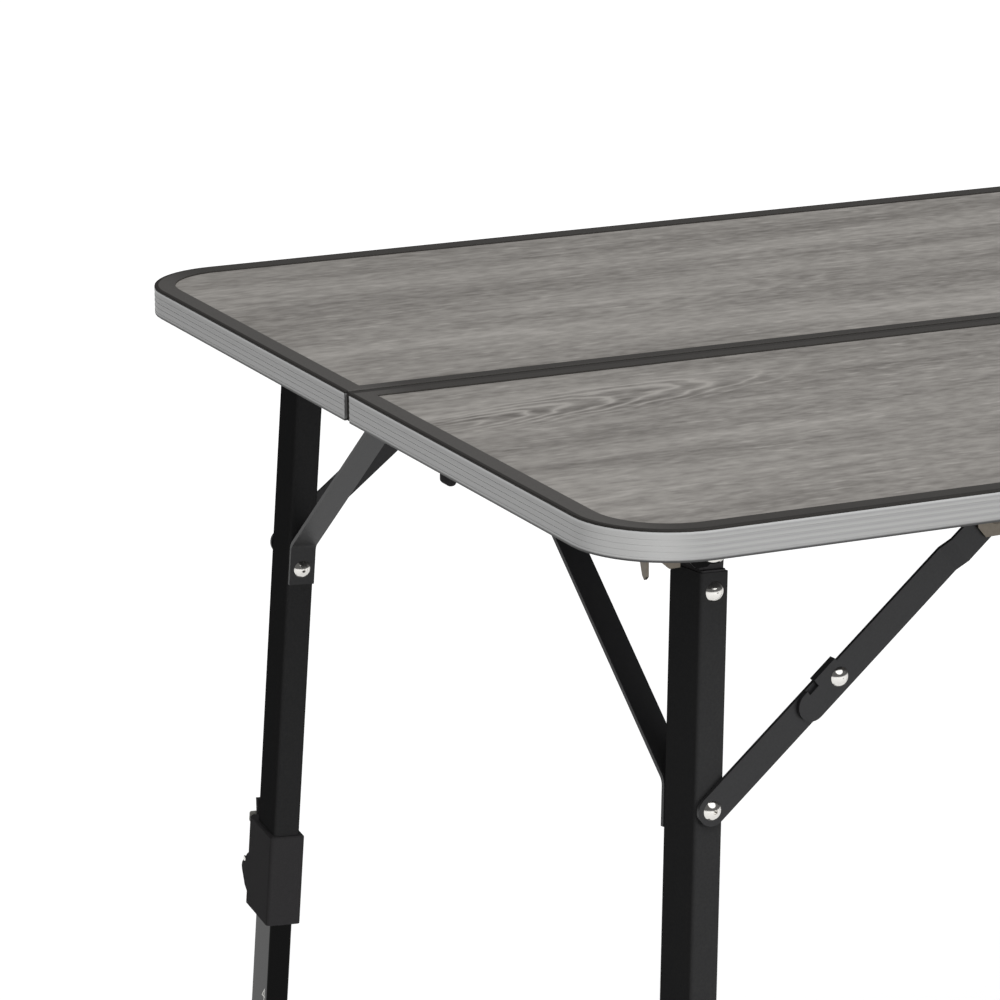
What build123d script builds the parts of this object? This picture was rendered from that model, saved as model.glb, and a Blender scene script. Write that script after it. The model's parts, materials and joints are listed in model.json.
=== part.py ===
from build123d import *
from math import cos, radians, sin, tan
import os

os.makedirs("parts", exist_ok=True)

# Folding camping table: two half tops hinged along the seam, four legs that fold under
# them on toed-in hinge axes, knee stays, side braces and telescopic legs with clamps.
# Frame: X along the top, Y from the front to the rear, Z up, floor at zero.

# Table top
top_length = 1200.0
top_width = 800.0
table_height = 700.0
corner_radius = 63.0
seam_gap = 8.0
edge_height = 20.0
edge_wall = 2.0
edge_lip_width = 12.0
edge_lip_thickness = 1.6
groove_count = 4
groove_depth = 0.15
groove_height = 1.8
rim_width = 15.0
seam_rim_width = 10.0
rim_thickness = 1.5
rim_rounding = 0.7
seam_wall = 3.0
panel_recess = 1.2
board_thickness = 16.0
strip_rounding = 2.0
strip_recess = 0.5

# Leg tubes
tube_long = 20.0
tube_short = 38.0
tube_wall = 1.2
tube_corner = 2.5
tube_top = 16.5
tube_bottom = 443.0
inner_top = 373.0
crown_cut_depth = 9.0
crown_cut_drop = 5.5
inner_corner = 1.8

# Leg pivot and splay
pivot_inset_long = 100.0
pivot_inset_short = 91.0
pivot_drop = 35.0
splay_long = 3.0
splay_short = 2.9
toe = 3.8
pin_radius = 4.0
pin_head_radius = 6.5
pin_head_height = 2.0

# Leg head
head_plug_length = 36.0
head_ear_half = 15.0
head_ear_radius = 8.5
head_rivet_drop = 28.5
head_rivet_radius = 2.5

# Leg bracket
bracket_wall = 2.0
bracket_eye_radius = 10.0
ear_shoulder = 20.0
ear_step = 16.0
ear_waist = 9.5
ear_foot_reach = 17.0
ear_foot_width = 12.0
ear_foot_drop = 12.0
ear_foot_bevel = 4.0
claw_reach = 47.0
claw_root = 14.5
claw_tip = 2.4
claw_length = 31.0

# Side brace
brace_width = 19.0
brace_thickness = 3.0
brace_slope = 39.0
brace_start = 154.5
brace_tab = 29.5
brace_bend = 9.0
brace_bolt_below = 18.0

# Knee stays
stay_width = 20.0
stay_thickness = 2.5
stay_leg_drop = 163.5
stay_top_reach = 191.0
stay_tail = 35.0
stay_joggle = 3.6
stay_joggle_start = 41.0
stay_joggle_run = 9.0
stop_near = 5.0
stop_far = 14.0
stop_height = 1.4
notch_length = 8.0
notch_depth = 3.0
knee_tail_radius = 4.5
knee_tail_height = 1.4
cheek_half = 14.0
cheek_drop = 14.0
cheek_flat = 8.0
cheek_flange = 14.0

# Rivets
rivet_radius = 3.0
rivet_head_radius = 6.4
rivet_head_height = 3.4
rivet_tail = 3.0
rivet_eye_radius = 1.5
rivet_eye_depth = 2.0
washer_radius = 6.0
washer_thickness = 1.2

# Clamp on the leg
collar_top = 381.0
collar_bottom = 451.0
collar_wall = 3.2
collar_rounding = 3.0
collar_housing = 7.0
lug_thickness = 3.0
lever_width = 12.0
lever_barrel = 4.5
lever_pin = 2.0
lever_drop = 37.0
lever_length = 47.0
lever_thickness = 3.6
lever_flare = 4.0

# Foot
foot_wall = 2.2
foot_height = 32.0
foot_floor = 6.0

# Hook under the end of the front half
hook_inset_short = 275.0
hook_radius = 8.0
hook_height = 9.0
hook_plate = 3.0
hook_button_long = 7.2
hook_button_short = 4.4
hook_button_rounding = 2.4

# Clearances
running_fit = 0.05
side_play = 0.4
seat_play = 0.1
slide_play = 0.3

half_leg = tube_short / 2
top_under = rim_thickness + board_thickness
inner_long = tube_long - 2 * (tube_wall + slide_play)
inner_short = tube_short - 2 * (tube_wall + slide_play)
collar_long = tube_long + 2 * (collar_wall + seat_play)
collar_short = tube_short + 2 * (collar_wall + seat_play)

# The leg frame hangs at its pivot: first tipped out along the short side, then along the
# long side. Distances down the leg are negative heights in this frame.
lean = Rot(0, splay_long, 0)
leg_plane = Plane(lean * Rot(-splay_short, 0, 0))
brace_plane = Plane(lean)
ceiling = pivot_drop - top_under
floor_level = -(table_height - pivot_drop)

# Outward distances of the stays from the pivot, along the hinge axis
leg_face = stay_leg_drop * sin(radians(splay_short)) + half_leg / cos(radians(splay_short))
washer_face = leg_face + washer_radius * sin(radians(splay_short))
lower_face = washer_face + washer_thickness + slide_play
upper_face = lower_face + stay_thickness + side_play
outer_face = upper_face + stay_joggle
cheek_face = outer_face + stay_thickness + side_play

# Knee geometry: straight when open, and both stays in line again when the leg is folded
leg_pin = Vector(
    -stay_leg_drop * cos(radians(splay_short)) * sin(radians(splay_long)),
    0,
    -stay_leg_drop * cos(radians(splay_short)) * cos(radians(splay_long)),
)
top_pin = Vector(stay_top_reach, 0, 0)
stay_span = (top_pin - leg_pin).length
stay_difference = stay_top_reach - leg_pin.length
lower_length = (stay_span - stay_difference) / 2
upper_length = (stay_span + stay_difference) / 2
along_stay = (top_pin - leg_pin).normalized()
knee = leg_pin + along_stay * lower_length


def stay_plane(pin, outward):
    """Plane across the hinge axis at a pin, X along the open stay and Z outward."""
    return Plane(origin=pin - Vector(0, outward, 0), x_dir=along_stay, z_dir=(0, -1, 0))


def upright(outward):
    """Plane across the hinge axis through the pivot, X along the top and Z outward."""
    return Plane(origin=(0, -outward, 0), x_dir=(1, 0, 0), z_dir=(0, -1, 0))


def half_outline(level, inset, seam_inset):
    """Face of the front half of the top, set in from its outer edge and from the seam."""
    front = -top_width / 2 + inset
    seam = -seam_gap / 2 - seam_inset
    with BuildSketch(Plane.XY.offset(level), mode=Mode.PRIVATE) as outline:
        with Locations((0, (front + seam) / 2)):
            Rectangle(top_length - 2 * inset, seam - front)
        fillet(outline.vertices().group_by(Axis.Y)[0], corner_radius - inset)
    return outline.sketch


def domed_head(plane, radius, height):
    """Rivet head: the cap of a sphere that stands on the plane."""
    ball_radius = (radius**2 + height**2) / (2 * height)
    with BuildPart(mode=Mode.PRIVATE) as head:
        with Locations(plane.offset(height - ball_radius)):
            Sphere(ball_radius)
        split(bisect_by=plane, keep=Keep.TOP)
    return head.part


# Front half of the top: board, metal edge and dark rim
with BuildPart() as board:
    extrude(
        half_outline(table_height - top_under, edge_wall + seat_play, seam_wall + seat_play),
        amount=board_thickness,
    )
    extrude(
        half_outline(table_height - rim_thickness, rim_width + seat_play, seam_rim_width + seat_play),
        amount=rim_thickness - panel_recess,
    )

edge_bottom = table_height - edge_height
edge_top = table_height - rim_thickness
with BuildPart() as edge:
    extrude(half_outline(edge_bottom, 0, 0), amount=edge_top - edge_bottom)
    lip_top = edge_bottom + edge_lip_thickness
    extrude(
        half_outline(lip_top, edge_wall, -seam_gap / 4),
        amount=edge_top - lip_top,
        mode=Mode.SUBTRACT,
    )
    extrude(
        half_outline(edge_bottom, edge_wall + edge_lip_width, -seam_gap / 4),
        amount=edge_lip_thickness,
        mode=Mode.SUBTRACT,
    )
    groove_pitch = (edge_top - edge_bottom) / (groove_count + 1)
    for number in range(1, groove_count + 1):
        level = edge_bottom + number * groove_pitch - groove_height / 2
        groove = half_outline(level, 0, 0) - half_outline(level, groove_depth, -seam_gap / 4)
        extrude(groove, amount=groove_height, mode=Mode.SUBTRACT)

with BuildPart() as rim:
    extrude(half_outline(edge_top, 0, 0), amount=rim_thickness)
    extrude(half_outline(edge_top, rim_width, seam_rim_width), amount=rim_thickness, mode=Mode.SUBTRACT)
    outer_edges = rim.faces().sort_by(Axis.Z)[-1].outer_wire().edges()
    fillet(outer_edges, rim_rounding)
    with BuildSketch(Plane.XY.offset(edge_bottom)):
        with Locations((0, -seam_gap / 2)):
            Rectangle(
                top_length - 2 * (edge_wall + edge_lip_width + seat_play),
                seam_wall,
                align=(Align.CENTER, Align.MAX),
            )
    extrude(amount=edge_top - edge_bottom)

for half in ("front", "rear"):
    for name, builder in (("board", board), ("edge", edge), ("rim", rim)):
        piece = builder.part if half == "front" else builder.part.mirror(Plane.XZ)
        piece.label = half + "_" + name
        export_step(piece, "parts/" + piece.label + ".step")

# Flexible strip that fills the seam, seated on the rear half
with BuildPart() as hinge_strip:
    strip_depth = edge_height - strip_recess
    with BuildSketch(Plane.YZ.offset(-top_length / 2 + edge_wall)):
        with Locations((seam_gap / 2, table_height - strip_recess)):
            RectangleRounded(
                seam_gap - slide_play,
                strip_depth,
                strip_rounding,
                align=(Align.MAX, Align.MAX),
            )
    extrude(amount=top_length - 2 * edge_wall)
hinge_strip.part.label = "hinge_strip"
export_step(hinge_strip.part, "parts/hinge_strip.step")

# Hooks under the two ends of the front half: a flange and a rounded button below it
hook_x = top_length / 2 - edge_wall - edge_lip_width - hook_radius - side_play
hook_y = -top_width / 2 + hook_inset_short
hook_places = [(-hook_x, hook_y), (hook_x, hook_y)]
with BuildPart() as end_hooks:
    with BuildSketch(Plane.XY.offset(table_height - top_under)):
        with Locations(*hook_places):
            Circle(hook_radius)
    extrude(amount=-hook_plate)
    with BuildSketch(Plane.XY.offset(table_height - top_under - hook_plate)):
        with Locations(*hook_places):
            Ellipse(hook_button_short, hook_button_long)
    extrude(amount=-hook_height)
    fillet(end_hooks.edges().group_by(Axis.Z)[0], hook_button_rounding)
end_hooks.part.label = "front_end_hooks"
export_step(end_hooks.part, "parts/front_end_hooks.step")


def leg_point(across, inward, down):
    """Point in the leg frame: across the tube, toward the seam and down the leg."""
    return leg_plane.from_local_coords((across, inward, -down))


def leg_face_plane(inward, down, facing):
    """Plane on a broad-side face of the leg, facing outward (-1) or toward the seam (1)."""
    return Plane(
        origin=leg_point(0, inward, down),
        x_dir=leg_plane.x_dir,
        z_dir=leg_plane.y_dir * facing,
    )


def side_profile_plane(across):
    """Plane through the leg, X toward the seam and Y up the leg, set across the tube."""
    return Plane(
        origin=leg_point(across, 0, 0),
        x_dir=leg_plane.y_dir,
        z_dir=leg_plane.x_dir,
    )


def crown_wedge():
    """Wedge that takes the seam-side corner off the top end of the leg."""
    crown_level = -tube_top + tube_wall
    steepness = crown_cut_depth / crown_cut_drop
    with BuildPart(mode=Mode.PRIVATE) as wedge:
        with BuildSketch(side_profile_plane(0)):
            with BuildLine():
                Polyline(
                    (half_leg - crown_cut_depth - steepness * tube_wall, crown_level),
                    (half_leg + crown_cut_depth, crown_level),
                    (half_leg + crown_cut_depth, -tube_top - 2 * crown_cut_drop),
                    close=True,
                )
            make_face()
        extrude(amount=tube_long, both=True)
    return wedge.part


# Outer leg tube, with its rivet holes
bolt_drop = brace_start + brace_bolt_below
with BuildPart() as leg_tube:
    with BuildSketch(leg_plane.offset(-tube_bottom)):
        RectangleRounded(tube_long, tube_short, tube_corner)
        RectangleRounded(
            tube_long - 2 * tube_wall,
            tube_short - 2 * tube_wall,
            tube_corner - tube_wall,
            mode=Mode.SUBTRACT,
        )
    extrude(amount=tube_bottom - tube_top)
    add(crown_wedge(), mode=Mode.SUBTRACT)
    with BuildSketch(leg_face_plane(0, head_rivet_drop, 1)):
        Circle(head_rivet_radius + running_fit)
    extrude(amount=tube_short, both=True, mode=Mode.SUBTRACT)
    with BuildSketch(leg_face_plane(0, bolt_drop, 1)):
        Circle(rivet_radius + running_fit)
    extrude(amount=tube_short, mode=Mode.SUBTRACT)
    with BuildSketch(stay_plane(leg_pin, stay_leg_drop * sin(radians(splay_short)))):
        Circle(rivet_radius + running_fit)
    extrude(amount=tube_short, mode=Mode.SUBTRACT)

# Moulded head: a plug in the tube, a shoulder on its end and an ear round the pivot pin
ear_plane = Plane(origin=(0, head_ear_half, 0), x_dir=brace_plane.x_dir, z_dir=(0, -1, 0))
with BuildPart() as leg_head:
    with BuildSketch(leg_plane.offset(-tube_top)):
        RectangleRounded(
            tube_long - 2 * (tube_wall + seat_play),
            tube_short - 2 * (tube_wall + seat_play),
            tube_corner - tube_wall,
        )
    extrude(amount=-head_plug_length)
    with BuildSketch(leg_plane.offset(-tube_top)):
        RectangleRounded(tube_long - 2 * tube_wall, tube_short - 2 * tube_wall, tube_corner)
    extrude(amount=tube_wall)
    with BuildSketch(ear_plane):
        Circle(head_ear_radius)
        Rectangle(
            2 * head_ear_radius,
            tube_top + tube_wall,
            align=(Align.CENTER, Align.MAX),
        )
    extrude(amount=2 * head_ear_half)
    add(crown_wedge(), mode=Mode.SUBTRACT)
    with BuildSketch(ear_plane):
        Circle(pin_radius + running_fit)
    extrude(amount=2 * head_ear_half, mode=Mode.SUBTRACT)
    with BuildSketch(leg_face_plane(0, head_rivet_drop, 1)):
        Circle(head_rivet_radius + running_fit)
    extrude(amount=tube_short, both=True, mode=Mode.SUBTRACT)

# Side brace: one flat bar with a tab bolted to the leg and an eye on the hinge axis
tab_middle = half_leg + brace_thickness / 2
tilt = radians(splay_short)


def in_brace(inward, down):
    """Point of the leg frame seen in the upright frame of the brace."""
    return (inward * cos(tilt) - down * sin(tilt), -inward * sin(tilt) - down * cos(tilt))


brace_foot = in_brace(tab_middle, brace_start)
eye_bend_drop = brace_width / 2 + brace_bend * tan(radians(90 - brace_slope) / 2) + side_play
eye_reach = brace_foot[0] + (-eye_bend_drop - brace_foot[1]) / tan(radians(brace_slope))
brace_profile = Plane(origin=(0, 0, 0), x_dir=(0, 1, 0), z_dir=brace_plane.x_dir)
with BuildPart() as side_brace:
    with BuildSketch(brace_profile):
        with BuildLine():
            FilletPolyline(
                in_brace(tab_middle, brace_start + brace_tab),
                brace_foot,
                (eye_reach, -eye_bend_drop),
                (eye_reach, brace_width / 2),
                radius=brace_bend,
            )
        trace(line_width=brace_thickness)
    extrude(amount=brace_width / 2, both=True)
    fillet(
        side_brace.edges().filter_by(Axis.Y).group_by(Axis.Z)[-1],
        brace_width / 2 - side_play,
    )
    eye_plane = Plane(origin=(0, eye_reach, 0), x_dir=(1, 0, 0), z_dir=(0, 1, 0))
    with BuildSketch(eye_plane):
        Circle(pin_radius + running_fit)
    extrude(amount=brace_thickness, both=True, mode=Mode.SUBTRACT)
    with BuildSketch(leg_face_plane(half_leg, bolt_drop, 1)):
        Circle(rivet_radius + running_fit)
    extrude(amount=brace_thickness, mode=Mode.SUBTRACT)

# Rivets that stay with the leg: through the head, through the brace tab, and the washer
# stud that the lower stay lies against
with BuildPart() as leg_rivets:
    with BuildSketch(leg_face_plane(-half_leg, head_rivet_drop, 1)):
        Circle(head_rivet_radius)
    extrude(amount=tube_short)
    add(domed_head(leg_face_plane(-half_leg, head_rivet_drop, -1), rivet_head_radius, rivet_head_height))
    add(domed_head(leg_face_plane(half_leg, head_rivet_drop, 1), rivet_head_radius, rivet_head_height))
    with BuildSketch(leg_face_plane(half_leg - tube_wall - rivet_tail, bolt_drop, 1)):
        Circle(rivet_radius)
    extrude(amount=tube_wall + rivet_tail + brace_thickness)
    bolt_plane = leg_face_plane(half_leg + brace_thickness, bolt_drop, 1)
    add(domed_head(bolt_plane, rivet_head_radius, rivet_head_height))
    with BuildSketch(bolt_plane.offset(rivet_head_height)):
        Circle(rivet_eye_radius)
    extrude(amount=-rivet_eye_depth, mode=Mode.SUBTRACT)
    shank_start = leg_face - tube_wall - rivet_tail
    with BuildSketch(stay_plane(leg_pin, shank_start)):
        Circle(rivet_radius)
    extrude(amount=washer_face - shank_start)
    with BuildSketch(stay_plane(leg_pin, washer_face)):
        Circle(washer_radius)
    extrude(amount=washer_thickness)

# Lower stay: flat bar from the leg to the knee
with BuildPart() as lower_stay:
    with BuildSketch(stay_plane(leg_pin, lower_face)):
        with Locations((lower_length / 2, 0)):
            SlotCenterToCenter(lower_length, stay_width)
        with Locations((0, 0), (lower_length, 0)):
            Circle(rivet_radius + running_fit, mode=Mode.SUBTRACT)
    extrude(amount=stay_thickness)

# Upper stay: joggled out at its top end over the leg rivet, with a stop lip over the knee
stay_half = stay_width / 2
stop_level = stay_half + side_play + seat_play * 2
tail_end = upper_length + stay_tail
joggle_plane = Plane(origin=top_pin, x_dir=along_stay, z_dir=along_stay.cross(Vector(0, -1, 0)))
with BuildPart() as upper_stay:
    with BuildSketch(joggle_plane):
        with BuildLine():
            ramp_end = -stay_joggle_start + stay_joggle_run
            bevel = stay_thickness * stay_joggle / stay_joggle_run / 2
            Polyline(
                (-tail_end, upper_face),
                (-stay_joggle_start, upper_face),
                (ramp_end, outer_face),
                (stay_half, outer_face),
                (stay_half, outer_face + stay_thickness),
                (ramp_end - bevel, outer_face + stay_thickness),
                (-stay_joggle_start - bevel, upper_face + stay_thickness),
                (-tail_end, upper_face + stay_thickness),
                close=True,
            )
        make_face()
    extrude(amount=stay_half + 2 * stop_height, both=True)
    with BuildSketch(stay_plane(top_pin, 0)):
        slot_length = tail_end - stay_half
        with Locations((-slot_length / 2, 0)):
            SlotCenterToCenter(slot_length, stay_width)
        with Locations((-upper_length - stop_far, 0)):
            Rectangle(
                stop_far + stop_near,
                stop_level + stop_height,
                align=(Align.MIN, Align.MIN),
            )
        with Locations((-upper_length - stop_far, stay_half)):
            Rectangle(
                notch_length,
                2 * notch_depth,
                align=(Align.MAX, Align.CENTER),
                mode=Mode.SUBTRACT,
            )
        with Locations((0, 0), (-upper_length, 0)):
            Circle(rivet_radius + running_fit, mode=Mode.SUBTRACT)
    extrude(amount=outer_face + 2 * stay_thickness, mode=Mode.INTERSECT)
    with BuildSketch(stay_plane(top_pin, lower_face)):
        with Locations((-upper_length - stop_far, stop_level)):
            Rectangle(stop_far + stop_near, stop_height, align=(Align.MIN, Align.MIN))
    extrude(amount=upper_face + stay_thickness - lower_face)

# Rivets of the stays: the knee rivet through both bars, and the one at the leg end
with BuildPart() as stay_rivets:
    with BuildSketch(stay_plane(knee, lower_face)):
        Circle(rivet_radius)
    extrude(amount=upper_face + stay_thickness + side_play / 2 - lower_face)
    with BuildSketch(stay_plane(knee, lower_face - knee_tail_height)):
        Circle(knee_tail_radius)
    extrude(amount=knee_tail_height)
    knee_head = stay_plane(knee, upper_face + stay_thickness + side_play / 2)
    add(domed_head(knee_head, rivet_head_radius, rivet_head_height))
    with BuildSketch(stay_plane(leg_pin, lower_face)):
        Circle(rivet_radius)
    extrude(amount=stay_thickness)
    leg_end_head = stay_plane(leg_pin, lower_face + stay_thickness)
    add(domed_head(leg_end_head, rivet_head_radius, rivet_head_height))
    with BuildSketch(leg_end_head.offset(rivet_head_height)):
        Circle(rivet_eye_radius)
    extrude(amount=-rivet_eye_depth, mode=Mode.SUBTRACT)

# Telescopic lower leg and its foot, cut level with the floor
leg_length = -floor_level / (cos(radians(splay_long)) * cos(tilt))
inner_bottom = leg_length - foot_floor
with BuildPart() as inner_tube:
    with BuildSketch(leg_plane.offset(-inner_bottom)):
        RectangleRounded(inner_long, inner_short, inner_corner)
        RectangleRounded(
            inner_long - 2 * tube_wall,
            inner_short - 2 * tube_wall,
            inner_corner - tube_wall / 2,
            mode=Mode.SUBTRACT,
        )
    extrude(amount=inner_bottom - inner_top)

with BuildPart() as foot:
    with BuildSketch(leg_plane.offset(-leg_length - foot_floor)):
        RectangleRounded(
            inner_long + 2 * (foot_wall + seat_play),
            inner_short + 2 * (foot_wall + seat_play),
            inner_corner + foot_wall,
        )
    extrude(amount=foot_height + foot_floor)
    fillet(foot.faces().sort_by(Axis.Z)[-1].edges(), foot_wall / 2)
    with BuildSketch(leg_plane.offset(-inner_bottom)):
        RectangleRounded(
            inner_long + 2 * seat_play,
            inner_short + 2 * seat_play,
            inner_corner,
        )
    extrude(amount=foot_height, mode=Mode.SUBTRACT)
    sole = leg_point(0, 0, leg_length)
    with BuildSketch(Plane(origin=(sole.X, sole.Y, floor_level), z_dir=(0, 0, 1))):
        Rectangle(4 * tube_short, 4 * tube_short)
    extrude(amount=-4 * foot_floor, mode=Mode.SUBTRACT)

# Clamp collar on the end of the outer tube, deeper on its outward side, where two lugs
# hold the lever's pin
collar_face = collar_short / 2 + collar_housing
lever_axis_out = collar_face + lever_barrel + side_play
lever_axis_down = collar_top + lever_drop
lug_inner = lever_width / 2 + side_play
with BuildPart() as clamp_collar:
    with BuildSketch(leg_plane.offset(-collar_bottom)):
        with Locations((0, collar_short / 2)):
            RectangleRounded(
                collar_long,
                collar_short + collar_housing,
                collar_rounding,
                align=(Align.CENTER, Align.MAX),
            )
    extrude(amount=collar_bottom - collar_top)
    chamfer(clamp_collar.faces().sort_by(Axis.Z)[-1].edges(), collar_wall / 3)
    with BuildSketch(side_profile_plane(-lug_inner - lug_thickness)):
        with Locations((-lever_axis_out, -lever_axis_down)):
            Circle(lever_barrel)
            Rectangle(
                lever_axis_out - half_leg,
                2 * lever_barrel,
                align=(Align.MIN, Align.CENTER),
            )
    extrude(amount=2 * (lug_inner + lug_thickness))
    with BuildSketch(side_profile_plane(-lug_inner)):
        with Locations((-lever_axis_out, -lever_axis_down)):
            Rectangle(
                2 * lever_barrel + 2 * side_play,
                4 * lever_barrel,
            )
    extrude(amount=2 * lug_inner, mode=Mode.SUBTRACT)
    with BuildSketch(side_profile_plane(-lug_inner)):
        with Locations((-lever_axis_out, -lever_axis_down)):
            Circle(lever_pin)
    extrude(amount=2 * lug_inner)
    with BuildSketch(leg_plane.offset(-tube_bottom)):
        RectangleRounded(tube_long + 2 * seat_play, tube_short + 2 * seat_play, tube_corner)
    extrude(amount=tube_bottom, mode=Mode.SUBTRACT)
    with BuildSketch(leg_plane.offset(-collar_bottom)):
        RectangleRounded(inner_long + 2 * slide_play, inner_short + 2 * slide_play, inner_corner)
    extrude(amount=collar_bottom, mode=Mode.SUBTRACT)

# Clamp lever: a barrel on the pin and a thin arm up the collar, flared at its finger end
with BuildPart() as clamp_lever:
    arm_inner = collar_face + side_play
    arm_end = lever_axis_down - lever_length
    with BuildSketch(side_profile_plane(-lever_width / 2)):
        with Locations((-lever_axis_out, -lever_axis_down)):
            Circle(lever_barrel)
        with BuildLine():
            Polyline(
                (-arm_inner, -lever_axis_down),
                (-arm_inner, -arm_end - 3 * lever_flare),
                (-arm_inner - lever_flare, -arm_end),
                (-arm_inner - lever_flare - lever_thickness, -arm_end),
                (-arm_inner - lever_thickness, -arm_end - 4 * lever_flare),
                (-arm_inner - 2 * lever_barrel, -lever_axis_down),
                close=True,
            )
        make_face()
        with Locations((-lever_axis_out, -lever_axis_down)):
            Circle(lever_pin + running_fit, mode=Mode.SUBTRACT)
    extrude(amount=lever_width)

# Pressed bracket on the hinge axis: strap, two pairs of ears with their pins and a tongue
strap_level = ceiling - bracket_wall
leg_ear = head_ear_half + side_play
eye_ear = brace_thickness / 2 + side_play
leg_ears = (-leg_ear - bracket_wall, leg_ear)
eye_ears = (eye_reach - eye_ear - bracket_wall, eye_reach + eye_ear)
with BuildPart() as pivot_bracket:
    strap_start = -leg_ear - bracket_wall
    strap_end = eye_reach + eye_ear + bracket_wall
    with BuildSketch(Plane.XY.offset(strap_level)):
        with Locations((0, strap_start)):
            Rectangle(
                2 * bracket_eye_radius,
                strap_end - strap_start,
                align=(Align.CENTER, Align.MIN),
            )
            Rectangle(
                claw_reach + bracket_eye_radius,
                2 * leg_ear + 2 * bracket_wall,
                align=(Align.MAX, Align.MIN),
            )
    extrude(amount=bracket_wall)
    for start in leg_ears:
        with BuildSketch(upright(-start)):
            Circle(bracket_eye_radius)
            Polygon(
                (-ear_shoulder, strap_level),
                (-ear_foot_reach, -ear_foot_drop + ear_foot_bevel),
                (-ear_foot_reach + ear_foot_bevel, -ear_foot_drop),
                (-ear_foot_reach + ear_foot_width, -ear_foot_drop),
                (ear_waist, 0),
                (bracket_eye_radius, strap_level),
                align=None,
            )
        extrude(amount=-bracket_wall)
    for start in eye_ears:
        with BuildSketch(upright(-start)):
            Circle(bracket_eye_radius)
            Polygon(
                (-ear_shoulder, strap_level),
                (-ear_step, bracket_eye_radius),
                (-ear_waist, 0),
                (ear_waist, 0),
                (bracket_eye_radius, strap_level),
                align=None,
            )
        extrude(amount=-bracket_wall)
    for first, last in (leg_ears, eye_ears):
        with BuildSketch(upright(-first + pin_head_height)):
            Circle(pin_head_radius)
        extrude(amount=-pin_head_height)
        with BuildSketch(upright(-first)):
            Circle(pin_radius)
        extrude(amount=-(last + bracket_wall - first))
        with BuildSketch(upright(-last - bracket_wall)):
            Circle(pin_head_radius)
        extrude(amount=-pin_head_height)
    with BuildSketch(Plane(origin=(-claw_reach, 0, 0), x_dir=(0, 1, 0), z_dir=(1, 0, 0))):
        with BuildLine():
            tongue_edge = strap_start + bracket_wall
            tongue_end = strap_level - claw_length
            Polyline(
                (tongue_edge, strap_level + bracket_wall / 2),
                (tongue_edge, tongue_end + claw_tip),
                (tongue_edge + claw_tip, tongue_end),
                (tongue_edge + 2 * claw_tip, tongue_end + claw_tip),
                (tongue_edge + claw_root, strap_level + bracket_wall / 2),
                close=True,
            )
        make_face()
    extrude(amount=bracket_wall)

# Stay bracket: a clevis under the board that holds the top end of the upper stay
inner_cheek = outer_face - side_play - bracket_wall
with BuildPart() as stay_bracket:
    for outward in (inner_cheek, cheek_face):
        with BuildSketch(upright(outward)):
            with Locations((stay_top_reach, 0)):
                Polygon(
                    (-cheek_half, ceiling),
                    (-cheek_half, -cheek_drop / 2),
                    (-cheek_flat, -cheek_drop),
                    (cheek_flat, -cheek_drop),
                    (cheek_half, -cheek_drop / 2),
                    (cheek_half, ceiling),
                    align=None,
                )
        extrude(amount=bracket_wall)
    with BuildSketch(Plane.XY.offset(strap_level)):
        with Locations((stay_top_reach, -inner_cheek)):
            Rectangle(
                2 * cheek_half,
                cheek_face - inner_cheek + bracket_wall + cheek_flange,
                align=(Align.CENTER, Align.MAX),
            )
    extrude(amount=bracket_wall)
    with BuildSketch(stay_plane(top_pin, inner_cheek)):
        Circle(rivet_radius)
    extrude(amount=cheek_face - inner_cheek)
    add(domed_head(stay_plane(top_pin, cheek_face + bracket_wall), rivet_head_radius, rivet_head_height))

# Set the leg parts in each corner: toed in at the front left pivot, then mirrored
pivot = Vector(
    -top_length / 2 + pivot_inset_long,
    -top_width / 2 + pivot_inset_short,
    table_height - pivot_drop,
)
leg_pieces = {
    "leg_tube": leg_tube,
    "leg_head": leg_head,
    "leg_rivets": leg_rivets,
    "side_brace": side_brace,
    "lower_stay": lower_stay,
    "upper_stay": upper_stay,
    "stay_rivets": stay_rivets,
    "inner_tube": inner_tube,
    "foot": foot,
    "clamp_collar": clamp_collar,
    "clamp_lever": clamp_lever,
    "pivot_bracket": pivot_bracket,
    "stay_bracket": stay_bracket,
}
for name, builder in leg_pieces.items():
    front_left = builder.part.moved(Location(pivot, (0, 0, toe)))
    front_right = front_left.mirror(Plane.YZ)
    corners = {
        "front_left": front_left,
        "front_right": front_right,
        "rear_left": front_left.mirror(Plane.XZ),
        "rear_right": front_right.mirror(Plane.XZ),
    }
    for corner, piece in corners.items():
        piece.label = corner + "_" + name
        export_step(piece, "parts/" + piece.label + ".step")
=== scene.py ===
# %% [markdown]
# A folding camping table: a top of grey oak laminate in two halves, a grooved aluminium edge
# with a dark rim, black tube legs with knee stays, and clamps on telescopic lower legs. The
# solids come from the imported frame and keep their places. This file gives them their
# finishes, adds the small fittings that a close look shows, and sets the studio.

# %% Load the frame
import json
from math import cos, radians, sin, tau

import bmesh
import bpy
from mathutils import Matrix, Vector


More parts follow.
